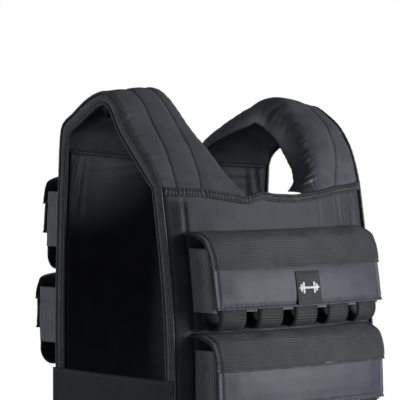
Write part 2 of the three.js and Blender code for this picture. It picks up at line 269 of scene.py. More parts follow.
@dataclass(frozen=True)
class Finish:
    """One cloth: what it is made of and how it takes light.

    Slot is the frame's finish that it dresses, and its tone wanders between its two shades. Pitch is the
    distance between threads, ribs or holes in millimetres, relief their height, and groove the share of the
    tone that is left between them, as painted shade in their hollows. Specular is how strongly its surface
    mirrors the lights.
    """

    name: str
    slot: str
    shade: str
    light_shade: str
    roughness: float
    pattern: Pattern
    pitch: float = 1.0
    relief: float = 0.0
    sheen: float = 0.0
    specular: float = 0.5
    groove: float = 0.6

    def height(self, tree: Tree, uv: Socket) -> Socket | None:
        """Builds the pattern's height.

        Args:
            tree: The material's node tree.
            uv: Lengths across and along the cloth, in metres.

        Returns:
            A height from 0 to 1, or nothing for a smooth cloth.
        """
        if self.pattern is Pattern.SMOOTH:
            return None
        step = self.pitch * MM
        if self.pattern is Pattern.SPACER_MESH:
            values = {"Scale": 1 / step, "Randomness": 0.25}
            holes = add_node(tree, "ShaderNodeTexVoronoi", values, {"Vector": uv}, voronoi_dimensions="2D")
            return holes.outputs["Distance"]
        values = {"Scale": 2 * math.pi / WAVE_RATE / step, "Distortion": 0.6, "Detail": 1.0}
        links = {"Vector": uv}
        waves = [add_node(tree, "ShaderNodeTexWave", values, links, bands_direction=way) for way in "XY"]
        along, across = (wave.outputs["Fac"] for wave in waves)
        if self.pattern is Pattern.RIBS_ACROSS:
            return across
        if self.pattern is Pattern.RIBS_ALONG:
            return along
        both = add_node(tree, "ShaderNodeMath", operation="MAXIMUM")
        tree.links.new(along, both.inputs[0])
        tree.links.new(across, both.inputs[1])
        return both.outputs[0]

    def material(self) -> bpy.types.Material:
        """Makes the cloth's material, once."""
        if self.name in bpy.data.materials:
            return bpy.data.materials[self.name]
        material = bpy.data.materials.new(self.name)
        material.use_nodes = True
        tree = material.node_tree
        shader = tree.nodes["Principled BSDF"]
        shader.inputs["Roughness"].default_value = self.roughness
        shader.inputs["Sheen Weight"].default_value = self.sheen
        shader.inputs["Sheen Roughness"].default_value = 0.5
        shader.inputs["IOR"].default_value = 1.5
        shader.inputs["Specular IOR Level"].default_value = self.specular
        place = add_node(tree, "ShaderNodeTexCoord")
        cloud = add_node(tree, "ShaderNodeTexNoise", {"Scale": 1000 / MOTTLE, "Detail": 4.0},
                         {"Vector": place.outputs["Object"]})
        blend = add_node(tree, "ShaderNodeValToRGB", links={"Fac": cloud.outputs["Fac"]})
        blend.color_ramp.elements[0].position = 0.35
        blend.color_ramp.elements[0].color = linear(self.shade)
        blend.color_ramp.elements[1].position = 0.65
        blend.color_ramp.elements[1].color = linear(self.light_shade)
        colour = blend.outputs["Color"]
        height = self.height(tree, place.outputs["UV"])
        fine = add_node(tree, "ShaderNodeTexNoise", {"Scale": 900.0, "Detail": 2.0},
                        {"Vector": place.outputs["Object"]})
        bump = add_node(tree, "ShaderNodeBump", {"Strength": 0.25, "Distance": 0.0003},
                        {"Height": fine.outputs["Fac"]})
        if height is not None:
            bump = add_node(tree, "ShaderNodeBump", {"Strength": 0.8, "Distance": self.relief * MM},
                            {"Height": height, "Normal": bump.outputs["Normal"]})
            # Painted shade: the colour falls to groove's share in the hollows between threads, ribs and
            # holes
            shares = {"From Min": 0.0, "From Max": 0.6, "To Min": self.groove, "To Max": 1.0}
            groove = add_node(tree, "ShaderNodeMapRange", shares, {"Value": height})
            shaded = add_node(tree, "ShaderNodeVectorMath", links={"Vector": colour}, operation="SCALE")
            tree.links.new(groove.outputs["Result"], shaded.inputs["Scale"])
            colour = shaded.outputs["Vector"]
        tree.links.new(colour, shader.inputs["Base Color"])
        tree.links.new(bump.outputs["Normal"], shader.inputs["Normal"])
        return material


# Plain-woven nylon over padding: fine threads give a dull face with a broad soft shine
PANEL_NYLON = Finish("padding_nylon", "panel_nylon", "#25262c", "#2d2e35", 0.64,
                     Pattern.PLAIN_WEAVE, 1.5, 0.12, sheen=0.08)
# The bands' nylon is the panels' own, pulled flat; its paler shades are painted light for the key light on
# the bands
LIT_BAND_NYLON = Finish("band_nylon_painted_light", "panel_nylon", "#2f303a", "#383945", 0.56,
                    Pattern.PLAIN_WEAVE, 1.5, 0.1, sheen=0.1)
# Satin-woven nylon: long threads lie flat, so it shines at a grazing light and is dark where it faces up
STRAP_NYLON = Finish("satin_nylon", "strap_nylon", "#494a50", "#525359", 0.46,
                     Pattern.PLAIN_WEAVE, 1.4, 0.08, sheen=0.06)
# The hems' nylon is the panels' own, dulled, with darker shades as painted shade for its folds
SHADED_HEM_NYLON = Finish("gathered_nylon_painted_shade", "hem_nylon", "#1d1e22", "#27282c", 0.62,
                   Pattern.PLAIN_WEAVE, 1.4, 0.1, sheen=0.04)
# Calendered nylon lining: pressed smooth, so no thread shows, and uncoated, so it mirrors little
LINING_NYLON = Finish("calendered_nylon", "lining_nylon", "#1b1c21", "#222328", 0.6,
                      Pattern.SMOOTH, specular=0.2)
# Knitted polyester spacer mesh: its open cells, drawn 3.6 mm apart so that they show, carry painted shade,
# nearly black
SPACER_MESH = Finish("knitted_spacer", "spacer_mesh", "#6a6b72", "#76777e", 0.75,
                     Pattern.SPACER_MESH, 3.6, 1.3, sheen=0.12, groove=0.1)
# Piping cord wrapped in nylon: it catches a thin line of light
PIPING_NYLON = Finish("piping_nylon", "piping", "#2f3035", "#3a3b41", 0.42,
                      Pattern.RIBS_ACROSS, 1.4, 0.15, sheen=0.2)
# Polyester grosgrain: ribs 0.8 mm apart, drawn 2.2 mm apart so that they show, give a dry matte face
GROSGRAIN = Finish("grosgrain", "ribbed_cloth", "#303135", "#3b3c41", 0.6,
                   Pattern.RIBS_ACROSS, 2.2, 0.6, sheen=0.1, groove=0.35)
# Elastic knit of the pouches: upright ribs 1.5 mm apart, drawn 2.8 mm apart, with painted shade between them
ELASTIC_KNIT = Finish("elastic_knit", "pouch_cloth", "#7c7d83", "#898a91", 0.66,
                      Pattern.RIBS_ALONG, 2.8, 0.7, sheen=0.12, groove=0.3)
# Woven elastic webbing: its crosswise ribs are modelled, and fine warp threads run along it
ELASTIC_WEBBING = Finish("elastic_webbing", "webbing", "#131417", "#1b1c20", 0.66,
                         Pattern.RIBS_ALONG, 1.6, 0.1, sheen=0.06)
# Damask label cloth: a tight dark weave
LABEL_CLOTH = Finish("label_cloth", "label", "#1a1b1f", "#232428", 0.7,
                     Pattern.PLAIN_WEAVE, 1.2, 0.08, sheen=0.04)
# Embroidery thread of the label: pale polyester with some gloss
LABEL_THREAD = Finish("label_thread", "label", "#e2e3e7", "#f0f1f4", 0.5, Pattern.RIBS_ACROSS, 0.9, 0.1)
# Bonded nylon sewing thread, darker than the cloths that it holds
SEWING_THREAD = Finish("sewing_thread", "hem_nylon", "#0e0f11", "#16171a", 0.5, Pattern.SMOOTH)


class Maker:
    """Makes meshes in millimetres and hands them to the frame."""

    @staticmethod
    def mesh(name: str, points: Array, faces: list[list[int]], finishes: Sequence[Finish],
             slots: Array | None = None, uv: Array | None = None) -> Object:
        """Makes a smooth-shaded mesh.

        Args:
            name: The object's name.
            points: Vertices in millimetres.
            faces: The vertex numbers of each face.
            finishes: Its cloths.
            slots: Which cloth each face has.
            uv: Two lengths for each vertex, in metres.

        Returns:
            The object.
        """
        data = bpy.data.meshes.new(name)
        data.from_pydata((points * MM).tolist(), [], faces)
        for finish in finishes:
            data.materials.append(finish.material())
        if slots is not None:
            data.polygons.foreach_set("material_index", slots.astype(np.int32))
        if uv is not None:
            layer = data.uv_layers.new(name="lengths")
            loops = np.empty(len(data.loops), np.int32)
            data.loops.foreach_get("vertex_index", loops)
            layer.data.foreach_set("uv", uv[loops].astype(np.float32).ravel())
        data.polygons.foreach_set("use_smooth", np.ones(len(data.polygons), bool))
        data.update()
        return add_object(name, data)

    @staticmethod
    def slab(name: str, outer: Array, inner: Array, *finishes: Finish) -> Object:
        """Makes a closed cloth between two surfaces that share a grid.

        Args:
            name: The object's name.
            outer: Points of the outer surface, rows by columns by three.
            inner: Points of the inner surface.
            finishes: Its cloths: the first is outside and round the edges, the last inside.

        Returns:
            The object.
        """
        rows, columns = outer.shape[:2]
        points = np.concatenate([outer.reshape(-1, 3), inner.reshape(-1, 3)])
        number = np.arange(rows * columns).reshape(rows, columns)
        layer = rows * columns
        a, b = number[:-1, :-1].ravel(), number[:-1, 1:].ravel()
        c, d = number[1:, 1:].ravel(), number[1:, :-1].ravel()
        front = np.stack([a, b, c, d], 1)
        back = np.stack([d, c, b, a], 1) + layer
        border = np.concatenate([number[0, :], number[1:, -1], number[-1, -2::-1], number[-2::-1, 0]])
        start, end = border[:-1], border[1:]
        wall = np.stack([end, start, start + layer, end + layer], 1)
        faces = np.concatenate([front, back, wall])
        slots = np.zeros(len(faces))
        slots[len(front):len(front) + len(back)] = len(finishes) - 1
        across, along = run_along(outer, 1), run_along(outer, 0)
        across -= across.mean(1, keepdims=True) - across.mean()
        uv = np.tile(np.stack([across, along], 2).reshape(-1, 2) * MM, (2, 1))
        p, q, r, s = (points[faces[:, i]] for i in range(4))
        volume = np.einsum("ij,ij->", p, np.cross(q, r)) + np.einsum("ij,ij->", p, np.cross(r, s))
        if volume < 0:
            faces = faces[:, ::-1]
        return Maker.mesh(name, points, faces.tolist(), finishes, slots, uv)

    @staticmethod
    def cord(name: str, centres: Array, radius: Array | float, finish: Finish) -> Object:
        """Makes a closed cord along a line of points.

        Args:
            name: The object's name.
            centres: Points of its middle.
            radius: Its radius, or its radius at each point.
            finish: Its cloth.

        Returns:
            The object.
        """
        forward = np.gradient(centres, axis=0)
        forward /= np.linalg.norm(forward, axis=1, keepdims=True)
        aside = np.array([1.0, 0, 0])
        first = aside - forward * (forward @ aside)[:, None]
        first /= np.linalg.norm(first, axis=1, keepdims=True)
        second = np.cross(forward, first)
        angle = np.linspace(0, 2 * math.pi, CORD_SIDES, endpoint=False)
        radius = np.broadcast_to(np.asarray(radius, float), (len(centres),))[:, None, None]
        turn = angle[None, :, None]
        points = centres[:, None] + (first[:, None] * np.cos(turn) + second[:, None] * np.sin(turn)) * radius
        number = np.arange(len(centres) * CORD_SIDES).reshape(len(centres), CORD_SIDES)
        beside = np.roll(number, -1, 1)
        faces = np.stack([number[:-1], beside[:-1], beside[1:], number[1:]], 2).reshape(-1, 4).tolist()
        faces += [number[0, ::-1].tolist(), number[-1].tolist()]
        lengths = run_along(centres)[:, None]
        uv = np.stack(np.broadcast_arrays(angle[None] * radius[:, :, 0], lengths), 2).reshape(-1, 2) * MM
        return Maker.mesh(name, points.reshape(-1, 3), faces, [finish], uv=uv)

    @staticmethod
    def settle(piece: Object, slot: str, *nodes: str) -> Object:
        """Rides a piece on the vest and lets it stand for the frame's nodes."""
        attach(piece, BODY)
        if nodes:
            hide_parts(*nodes)
        LOG.info("%s: %d faces", piece.name, len(piece.data.polygons))
        return piece

    @staticmethod
    def padded(node: str, outer: Array, inner: Array, finish: Finish) -> None:
        """Makes a padded piece, lined inside, that stands for a node of the frame."""
        piece = Maker.slab(f"{node}_cloth", outer, inner, finish, LINING_NYLON)
        Maker.settle(piece, finish.slot, node)

    @staticmethod
    def sheet(node: str, outer: Array, inner: Array, finish: Finish, held: str, *rests_on: str) -> None:
        """Args:
            node: The frame's node.
            outer: Its outer surface, in millimetres.
            inner: Its inner surface.
            finish: Its cloth.
            held: How it is held; not used.
            rests_on: Names of what holds it; not used.
        """
        kind = "webbing" if finish is ELASTIC_WEBBING else "cloth"
        piece = Maker.settle(Maker.slab(f"{node}_{kind}", outer, inner, finish), finish.slot, node)


@dataclass(frozen=True)
class Stitching:
    """A row of stitches of sewing thread, in millimetres, which lie along their seam or across it."""

    pitch: float = 3.6
    length: float = 2.4
    radius: float = 0.5
    across: bool = False

    def points(self, line: Array, normals: Array) -> tuple[Array, Array]:
        """Lays stitches along a line on a surface.

        Args:
            line: Points of the seam.
            normals: The surface's direction at each point.

        Returns:
            Vertices, and triangles that count from 0.
        """
        lengths = run_along(line)
        places = np.arange(self.pitch / 2, lengths[-1], self.pitch)

        def at(where: Array, values: Array) -> Array:
            """Brings the line's rows of three numbers to other lengths along it."""
            return np.stack([np.interp(where, lengths, values[:, i]) for i in range(3)], 1)

        centre, up = at(places, line), at(places, normals)
        up /= np.linalg.norm(up, axis=1, keepdims=True)
        forward = at(places + 0.5, line) - at(places - 0.5, line)
        forward /= np.linalg.norm(forward, axis=1, keepdims=True)
        beside = np.cross(up, forward)
        if self.across:
            forward, beside = beside, forward
        half, r = self.length / 2, self.radius
        corners = [-forward * half, beside * r, up * r, -beside * r, -up * r, forward * half]
        points = np.stack([centre + corner for corner in corners], 1)
        shape = np.array([[0, 2, 1], [0, 3, 2], [0, 4, 3], [0, 1, 4],
                          [5, 1, 2], [5, 2, 3], [5, 3, 4], [5, 4, 1]])
        faces = (np.arange(len(centre)) * 6)[:, None, None] + shape[None]
        return points.reshape(-1, 3), faces.reshape(-1, 3)

    def sew(self, name: str, slot: str, seams: Sequence[tuple[Array, Array | Sequence[float]]]) -> None:
        """Sews along seams and rides all their stitches on the vest as one piece.

        Args:
            name: The piece's name.
            slot: The frame's finish under the stitches.
            seams: For each seam its points, and the surface's directions there or one for all.
        """
        count, points, faces = 0, [], []
        for line, normals in seams:
            row_points, row_faces = self.points(line, np.broadcast_to(np.array(normals, float), line.shape))
            points.append(row_points)
            faces.append(row_faces + count)
            count += len(row_points)
        piece = Maker.mesh(name, np.concatenate(points), np.concatenate(faces).tolist(), [SEWING_THREAD])
        Maker.settle(piece, slot)


@dataclass(frozen=True)
class PanelForm:
    """Where a padded panel lies, in millimetres: the same form as the frame's panel.

    Edge is how deep its side edges lie and wrap how much further out its middle is. Flare is how much
    further out it gets over the first flare_drop, and turn how much its left side is drawn in and its right
    let out. Its upper edge is at top, lean lower on the left and higher on the right, and dip lower in the
    middle.
    """

    name: str
    side: int
    edge: float
    wrap: float
    flare: float
    turn: float
    top: float
    lean: float
    dip: float
    half: float = HALF_WIDTH
    flare_drop: float = 240.0

    @property
    def outward(self) -> tuple[float, float, float]:
        """Direction away from the body."""
        return 0.0, float(self.side), 0.0

    def top_of(self, x: Array | float) -> Array:
        """Height of the upper edge."""
        across = np.asarray(x, float) / self.half
        return self.top - self.lean * across - self.dip * (1 - across * across)

    def face(self, x: Array | float, z: Array | float) -> Array:
        """Depth of the outer face from the middle of the body."""
        across = np.asarray(x, float) / self.half
        fall = np.clip((self.top + self.lean - np.asarray(z, float)) / self.flare_drop, 0, 1)
        return (self.edge + self.wrap * (1 - across * across) + self.flare * np.sin(fall * math.pi / 2)
                - self.turn * across)

    def on(self, x: Array, z: Array, out: Array | float) -> Array:
        """Points that stand off the outer face by out."""
        x, z, out = np.broadcast_arrays(x, z, out)
        return np.stack([x, self.side * (self.face(x, z) + out), z], -1).astype(float)

    def padding(self, x: Array) -> Array:
        """Thickness of the padding."""
        return mix(PADDING, EDGE_PADDING, (np.abs(x) / self.half) ** 6)


FRONT = PanelForm("front", -1, edge=107, wrap=32, flare=27, turn=5.5, top=-107, lean=0, dip=12)
BACK = PanelForm("back", 1, edge=98, wrap=32, flare=9, turn=0, top=-72, lean=13, dip=1)
# Waves of the front hem's line, in millimetres: height, place across, half width
FRONT_HEM_WAVES = ((-2.6, -60, 16), (3.2, -30, 15), (-1.5, 30, 20), (2.4, 118, 30), (3.0, -125, 30))


@dataclass(frozen=True)
class Panel:
    """One padded panel with its lining, neck hem and seams, in millimetres.

    Its two upright seams run at seam_x on either side, with a row of stitches stitch_in nearer the middle
    and one stitch_out nearer the edge. Hem_rows are the depths at which stitches pull in the neck hem.
    """

    form: PanelForm
    seed: int
    seam_x: float = 150.0
    seam_cord: float = 0.5
    stitch_in: float = 4.0
    stitch_out: float = 16.0
    hem_height: float = 11.0
    hem_thickness: float = 3.0
    hem_overlap: float = 3.0
    hem_rows: tuple[float, float] = (2.6, 8.4)
    lining: float = 1.5
    lining_inset: float = 3.0

    def relief(self, x: Array, z: Array) -> Array:
        """Height of the outer face's folds, seams and rounded edges over its plain form.

        Below and side count from the upper edge and from the nearer side edge; each feature has its height,
        place and half width in millimetres.

        Args:
            x: Places across.
            z: Heights over the mount.

        Returns:
            The heights, in millimetres.
        """
        form = self.form
        below = form.top_of(x) - z
        side = form.half - np.abs(x)
        rounding = -3.5 * (1 - rise(side, 0, 7)) ** 2 - 3.0 * (1 - rise(z - PANEL_BOTTOM, 0, 8)) ** 2
        seam = -2.4 * ridge(np.abs(x), self.seam_x, 2.8) * rise(below, 9, 16)
        margin = 1.6 * ridge(np.abs(x), self.seam_x + 12, 9) * rise(below, 9, 20)
        window = rise(below, 12, 22) * (1 - rise(below, 48, 62))
        fold = 4.0 * ridge(x, -self.seam_x - 7, 6) * window - 2.0 * ridge(x, -self.seam_x + 1, 2.5) * window
        tucks = Gathers(self.seed, 8.6)(x, below * 0.2)
        uneven = 1.2 + 1.2 * Ripples(self.seed + 9, 42)(x, 0 * x)
        drawn = tucks * uneven * np.exp(-np.clip(below - 8, 0, None) / 40) * (0.12 + 1.5 * rise(x, 30, 110))
        drawn *= rise(below, 7, 12)
        slack = 0.9 * Ripples(self.seed + 2, 70, 0.7)(x, z) * rise(below, 12, 40) * rise(side, 4, 20)
        binding = -1.2 * ridge(z - PANEL_BOTTOM, 9, 1.5)
        return rounding + seam + margin + fold + drawn + slack + binding

    def seam_line(self, x: float) -> Array:
        """Points down the outer face at one place across, just over the cloth."""
        z = np.linspace(self.form.top - 16, PANEL_BOTTOM + 12, 240)
        x_line = np.full_like(z, x)
        return self.form.on(x_line, z, self.relief(x_line, z) + 0.2)

    def build_padding(self) -> None:
        """Builds the padded panel itself, its stitches, and the dark lines of its seams."""
        form = self.form
        across, along = grid("panel")
        x = mix(-form.half, form.half, across)
        z = mix(form.top_of(x), PANEL_BOTTOM, along)
        inset = 2.5 * (1 - rise(form.half - np.abs(x), 0, 6)) ** 2
        name = f"{form.name}_panel"
        outer, inner = form.on(x, z, self.relief(x, z)), form.on(x, z, inset - form.padding(x))
        Maker.padded(name, outer, inner, PANEL_NYLON)
        near, far = self.seam_x - self.stitch_in, self.seam_x + self.stitch_out
        seams = [(self.seam_line(x_seam), form.outward) for x_seam in (-far, -near, near, far)]
        Stitching().sew(f"{name}_stitching", PANEL_NYLON.slot, seams)
        for side, x_seam in (("right", -self.seam_x), ("left", self.seam_x)):
            line = self.seam_line(x_seam)[::3]
            cord = Maker.cord(f"{name}_{side}_seam", line, self.seam_cord, LINING_NYLON)
            Maker.settle(cord, PANEL_NYLON.slot)

    def build_lining(self) -> None:
        """Builds the lining sheet, puckered at its upper corners."""
        form = self.form
        across, along = grid("lining")
        half = form.half - self.lining_inset
        x = mix(-half, half, across)
        top = form.top_of(x) - self.lining_inset
        z = mix(top, PANEL_BOTTOM + self.lining_inset, along)
        below = top - z
        side = half - np.abs(x)
        corner = (1 - rise(side, 10, 45)) * (1 - rise(below, 35, 120))
        puckers = 3.0 * Gathers(self.seed + 3, 15)(side + 0.25 * below, below * 0.4) * corner
        creases = 1.2 * Gathers(self.seed + 4, 13)(below + 0.08 * x, x * 0.3)
        creases = creases * (1 - rise(below, 8, 45)) * rise(side, 6, 30)
        slack = 1.6 * Ripples(self.seed + 5, 120, 0.7)(x, z) + 0.5 * Ripples(self.seed + 6, 40, 1.2)(x, z)
        hold = rise(side, 0, 9) * rise(below, 0, 6) * rise(z - PANEL_BOTTOM, 3, 12)
        lift = np.clip(1.0 + (2.2 + puckers + creases + slack) * hold, 0.4, None)
        off = -form.padding(x) - 2 * GAP - lift
        outer, inner = form.on(x, z, off), form.on(x, z, off + self.lining)
        Maker.sheet(f"{form.name}_lining", outer, inner, LINING_NYLON, "hung", f"{form.name}_panel_cloth")

    def hem_top(self, x: Array) -> Array:
        """Height of the hem's upper edge, which waves a little."""
        if self.form.side > 0:
            wave = 1.2 * Ripples(self.seed + 7, 60)(x, 0)
        else:
            wave = sum(height * ridge(x, place, width) for height, place, width in FRONT_HEM_WAVES)
        return self.form.top_of(x) + self.hem_overlap + wave

    def build_hem(self) -> None:
        """Builds the gathered neck hem with two rows of cross stitches."""
        form = self.form
        across, along = grid("hem")
        x = mix(-form.half, form.half, across)
        drop = along * self.hem_height
        z = self.hem_top(x) - drop
        tucks = Gathers(self.seed + 8, 4.6)(x, drop * 0.8)
        body = dome(along, 4)
        groove = sum(ridge(drop, row, 0.9) for row in self.hem_rows)
        out = GAP + self.hem_thickness * (0.35 + 0.65 * body) + 0.6 * tucks * body - 0.9 * groove * body
        name = f"{form.name}_neck_hem"
        outer, inner = form.on(x, z, out), form.on(x, z, GAP)
        Maker.sheet(name, outer, inner, SHADED_HEM_NYLON, "gathered", f"{form.name}_panel_cloth")
        x_line = np.linspace(-form.half + 4, form.half - 4, 300)
        off = GAP + self.hem_thickness - 0.35
        seams = [(form.on(x_line, self.hem_top(x_line) - row, off), form.outward) for row in self.hem_rows]
        Stitching(pitch=3.1, length=2.2, across=True).sew(f"{name}_stitching", SHADED_HEM_NYLON.slot, seams)

    def build(self) -> None:
        """Builds the panel and all that is sewn to it."""
        self.build_padding()
        self.build_lining()
        self.build_hem()


# Sections of a strap from the front foot to the back one. Reach is a share of the panel's depth, negative
# in front, rise a share of the way up to the crest, and neck the neck edge's share of the half width. Tilt
# is in degrees, and padding and crown are shares of the padding.
STRAP_COLUMNS = ("arm_reach", "arm_rise", "neck", "neck_reach", "neck_rise", "tilt", "padding", "crown")
RIGHT_SECTIONS = (
    (-1.0, 0.0, 0.28, -1.0, 0.0, 90, 0.83, 0),
    (-0.84, 0.2, 0.34, -0.84, 0.16, 62, 1.0, 0.1),
    (-0.6, 0.42, 0.39, -0.66, 0.37, 48, 1.0, 0.2),
    (-0.37, 0.63, 0.43, -0.47, 0.56, 46, 1.0, 0.2),
    (-0.19, 0.86, 0.46, -0.27, 0.78, 36, 1.0, 0.2),
    (-0.01, 0.94, 0.5, -0.06, 0.97, 6, 0.85, 0.1),
    (0.22, 0.87, 0.51, 0.16, 0.95, -20, 0.85, 0.1),
    (0.46, 0.75, 0.5, 0.34, 0.86, -32, 1.0, 0.2),
    (0.7, 0.57, 0.44, 0.56, 0.73, -42, 1.0, 0.2),
    (0.94, 0.37, 0.34, 0.84, 0.5, -62, 1.0, 0.1),
    (1.0, 0.0, 0.24, 1.0, 0.0, -90, 0.83, 0),
)
LEFT_SECTIONS = (
    (-1.0, 0.0, 0.28, -1.0, 0.0, 90, 0.83, 0),
    (-0.92, 0.2, 0.34, -0.88, 0.16, 66, 1.0, 0.2),
    (-0.8, 0.4, 0.39, -0.74, 0.36, 52, 1.1, 0.3),
    (-0.61, 0.58, 0.43, -0.55, 0.53, 40, 1.15, 0.4),
    (-0.38, 0.7, 0.46, -0.34, 0.7, 28, 1.15, 0.4),
    (-0.12, 0.79, 0.5, -0.1, 0.84, 10, 1.1, 0.4),
    (0.16, 0.72, 0.51, 0.14, 0.83, -14, 1.0, 0.4),
    (0.42, 0.52, 0.5, 0.33, 0.76, -28, 1.0, 0.4),
    (0.7, 0.38, 0.46, 0.58, 0.62, -40, 1.0, 0.3),
    (0.93, 0.21, 0.38, 0.86, 0.36, -62, 1.0, 0.2),
    (1.0, 0.0, 0.3, 1.0, 0.0, -90, 0.83, 0),
)
# Where the lengthwise seams lie across a strap, at shares of its length
SEAM_COLUMNS = ("share", "outer", "inner")
RIGHT_SEAMS = (
    (0, 0.85, 0.6), (0.1, 0.76, 0.44), (0.2, 0.69, 0.34), (0.3, 0.64, 0.27), (0.5, 0.6, 0.22), (1, 0.7, 0.4),
)
# The left strap's inner seam is rolled out of sight
LEFT_SEAMS = ((0, 0.5, 0), (0.1, 0.62, 0), (0.2, 0.7, 0), (0.3, 0.74, 0), (0.5, 0.76, 0), (1, 0.7, 0))
# A strap's length and width as its folds count them, in millimetres
STRAP_LENGTH = 330.0
STRAP_WIDTH = 100.0


@dataclass(frozen=True)
class Strap:
    """A padded shoulder strap with its mesh side wall and pipings, in millimetres.

    Roll is the share of the strap's width that curls down at the neck, roll_drop how far it curls,
    roll_folds how deep the folds drawn across it are, and tuck_in how far its edge turns under. Loose_mesh
    is how far the mesh bulges at loose_place, measured along the edge from the front's lower end.
    """

    name: str
    side: int
    sections: tuple[tuple[float, ...], ...]
    seams: tuple[tuple[float, ...], ...]
    seed: int
    roll: float
    roll_drop: float
    roll_folds: float
    tuck_in: float = 0.0
    loose_mesh: float = 0.0
    loose_place: float = 302.0
    piping: float = 4.0
    seam_cord: float = 0.45
    mesh_wall: float = 2.0
    mesh_bulge: float = 3.0
    mesh_inset: float = 2.4

    def section(self, row: dict[str, float]) -> list[float]:
        """Turns a row of the strap's table to millimetres.

        Args:
            row: The row, by its columns' names.

        Returns:
            The arm edge, the neck edge, how the middle stands over them, and the padding's depth.
        """
        panel = FRONT if row["arm_reach"] < 0 else BACK
        arm_x, neck_x = self.side * HALF_WIDTH, self.side * HALF_WIDTH * row["neck"]
        arm_top, neck_top = float(panel.top_of(arm_x)) + GAP, float(panel.top_of(neck_x)) + GAP
        arm_y = abs(row["arm_reach"]) * float(panel.face(arm_x, arm_top)) * panel.side
        neck_y = abs(row["neck_reach"]) * float(panel.face(neck_x, neck_top)) * panel.side
        tilt = math.radians(row["tilt"])
        foot = ((arm_x - neck_x) / HALF_WIDTH) ** 2 / 4 if abs(row["arm_reach"]) == 1 else 0
        crown, pad = row["crown"] * PADDING, row["padding"] * PADDING
        bulge_y = foot * panel.wrap * panel.side - crown * math.sin(tilt)
        bulge_z = crown * math.cos(tilt) - foot * panel.dip
        return [
            arm_x, arm_y, mix(arm_top, CREST, row["arm_rise"]),
            neck_x, neck_y, mix(neck_top, CREST, row["neck_rise"]),
            bulge_y, bulge_z, pad * math.sin(tilt), -pad * math.cos(tilt),
        ]

    def surface(self, across: Array, share: Array, depth: Array) -> Array:
        """Points of the strap: depth 0 is its upper face and 1 its body side.

        Args:
            across: Shares from the neck edge to the arm edge.
            share: Shares from the front foot to the back foot.
            depth: Shares of the padding.

        Returns:
            The points.
        """
        table = np.array([self.section(dict(zip(STRAP_COLUMNS, row))) for row in self.sections])
        numbers = along_curve(table, share.ravel()).reshape(*share.shape, -1)
        ax, ay, az, nx, ny, nz, bulge_y, bulge_z, pad_y, pad_z = np.moveaxis(numbers, -1, 0)
        middle = 4 * across * (1 - across)
        return np.stack([
            mix(nx, ax, across),
            mix(ny, ay, across) + bulge_y * middle + pad_y * depth,
            mix(nz, az, across) + bulge_z * middle + pad_z * depth,
        ], -1)

    def through(self, across: Array, share: Array) -> tuple[Array, Array, Array]:
        """Points of the plain upper face, and the padding's thickness and direction under each."""
        origin = self.surface(across, share, np.zeros_like(share))
        pad = self.surface(across, share, np.ones_like(share)) - origin
        thickness = np.linalg.norm(pad, axis=-1, keepdims=True)
        return origin, thickness, pad / thickness

    def seam_at(self, column: str, share: Array) -> Array:
        """Place of a seam across the strap."""
        table = np.array(self.seams)
        return np.interp(share, table[:, 0], table[:, SEAM_COLUMNS.index(column)])

    def upper_relief(self, across: Array, share: Array) -> Array:
        """Height of the upper face's seams, puckers and folds, in millimetres."""
        length, width = STRAP_LENGTH * share, STRAP_WIDTH * across
        arm = 1 - across
        feet = rise(share, 0.0, 0.05) * rise(1 - share, 0.0, 0.05)
        outer, inner = self.seam_at("outer", share), self.seam_at("inner", share)
        seams = -1.5 * ridge(across, outer, 0.011) - 1.5 * ridge(across, inner, 0.011)
        puff = 1.3 * (1 - ridge(across, outer, 0.07)) * (1 - ridge(across, inner, 0.07))
        gathers = Gathers(self.seed, 7.0)(length, width * 0.5)
        edge = 0.8 * gathers * (1 - rise(arm, 0.04, 0.14)) * rise(arm, 0, 0.03)
        round_arm = -1.3 * (1 - rise(arm, 0, 0.05)) ** 2
        slack = 0.7 * Ripples(self.seed + 1, 46, 1.0)(length, width)
        curl = np.clip(1 - across / self.roll, 0, 1)
        roll = -self.roll_drop * quarter_turn(curl)
        window = rise(curl, 0.2, 0.9) * mix(0.2, 1.0, rise(across, 0.0, 0.07))
        drawn = Gathers(self.seed + 2, 10.5)(length, width * 0.9)
        drawn += 1.4 * Ripples(self.seed + 7, 16, 1.6)(length, width)
        front_half = 1 - rise(share, 0.5, 0.57)
        folds = self.roll_folds * drawn * window * mix(0.15, 1.0, front_half)
        if self.tuck_in:
            folds -= 0.22 * self.roll_drop * ridge(share, 0.47, 0.014) * window
        gathers = Gathers(self.seed + 3, 8.0)(width, length * 0.6)
        near_foot = 1.2 * gathers * ridge(share, 0.03, 0.04) * (1 - rise(across, 0.1, 0.4))
        return (seams + puff + edge + slack + folds + near_foot) * feet + round_arm + roll * feet

    def lower_relief(self, across: Array, share: Array) -> Array:
        """How far the lining hangs below the plain body side, in millimetres."""
        length, width = STRAP_LENGTH * share, STRAP_WIDTH * across
        feet = rise(share, 0.02, 0.1) * rise(1 - share, 0.02, 0.1)
        knot = ridge(share, 0.54, 0.04) * rise(across, 0.72, 0.95)
        folds = 8.0 * Gathers(self.seed + 4, 11)(length, width * 0.5) * knot
        slack = 1.8 * Ripples(self.seed + 5, 50, 1.5)(length, width)
        edges = rise(across, 0.0, 0.12) * rise(1 - across, 0.0, 0.03)
        return (folds + slack + 15.0 * knot) * feet * edges

